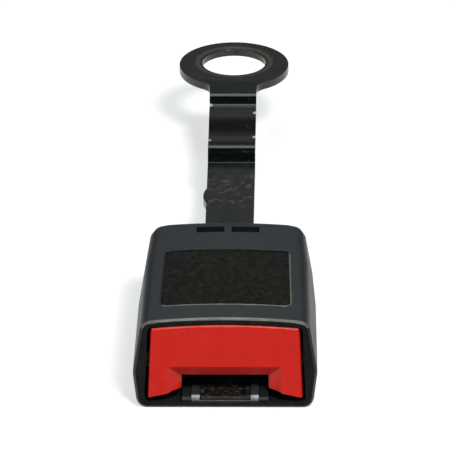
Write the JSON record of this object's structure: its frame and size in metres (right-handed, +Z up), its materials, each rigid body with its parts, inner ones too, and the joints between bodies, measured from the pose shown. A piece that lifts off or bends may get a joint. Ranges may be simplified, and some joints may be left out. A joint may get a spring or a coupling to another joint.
{
  "type": "seat belt buckle",
  "caption": "End-release seat belt buckle: two-shell black housing with a velour pad, wide push button over a tongue slot, cranked steel strap ending in an anchor ring.",
  "frame": {"origin": "centre of the bounding box in plan, at the surface that the housing lies on", "axes": "+Y from the push button to the anchor ring, +X across, +Z up through the pad and the ring's bore"},
  "size_m": [0.0532, 0.2182, 0.0249],
  "materials": {
    "cover_plastic": "fine-grained moulded black ABS",
    "velour": "short-pile black velour",
    "button_plastic": "satin red ABS",
    "coated_steel": "black e-coat on stamped steel",
    "zinc_steel": "zinc-plated pressed steel",
    "spring_steel": "drawn spring steel",
    "guide_plastic": "black acetal",
    "felt": "dark felt strip",
    "rubber": "black rubber"
  },
  "bodies": {
    "housing": {"upper_cover": "cover_plastic", "lower_cover": "cover_plastic", "velour_pad": "velour", "buckle_frame": "zinc_steel", "tongue_guide_left": "guide_plastic", "tongue_guide_right": "guide_plastic", "rattle_strip_left": "felt", "rattle_strip_right": "felt", "spring_seat": "guide_plastic", "anchor_strap": "coated_steel", "anchor_rivet": "zinc_steel", "rivet_washer": "zinc_steel", "strap_cushion_lower": "rubber", "strap_cushion_upper": "rubber", "ejector_spring": "spring_steel", "button_spring_left": "spring_steel", "button_spring_right": "spring_steel"},
    "button": {"release_button": "button_plastic", "pin_spring_left": "spring_steel", "pin_spring_right": "spring_steel"},
    "ejector": {"ejector": "guide_plastic"},
    "latch": {"latch_plate": "zinc_steel", "latch_pivot_pin": "spring_steel"},
    "lock_pin": {"lock_pin": "spring_steel"}
  },
  "joints": [
    {"name": "button_press", "type": "slide", "parent": "housing", "child": "button", "axis": [0, 1, 0], "range_m": [0, 0.0055], "stiffness_N_per_m": 800, "springref_m": -0.003, "deforming": ["button_spring_left", "button_spring_right"]},
    {"name": "ejector_slide", "type": "slide", "parent": "housing", "child": "ejector", "axis": [0, 1, 0], "range_m": [0, 0.011], "stiffness_N_per_m": 300, "springref_m": -0.004, "deforming": ["ejector_spring"]},
    {"name": "latch_pivot", "type": "hinge", "parent": "housing", "child": "latch", "pos_m": [0, -0.06081, 0.0099], "axis": [1, 0, 0], "range_deg": [0, 7.5]},
    {"name": "lock_pin_slide", "type": "slide", "parent": "button", "child": "lock_pin", "axis": [0, -1, 0], "range_m": [0, 0.0045], "deforming": ["pin_spring_left", "pin_spring_right"]}
  ],
  "couplings": [
    {"joint": "latch_pivot", "follows": "ejector_slide", "rad_per_m": 11.899},
    {"joint": "lock_pin_slide", "follows": "ejector_slide", "ratio": 0.40905}
  ]
}
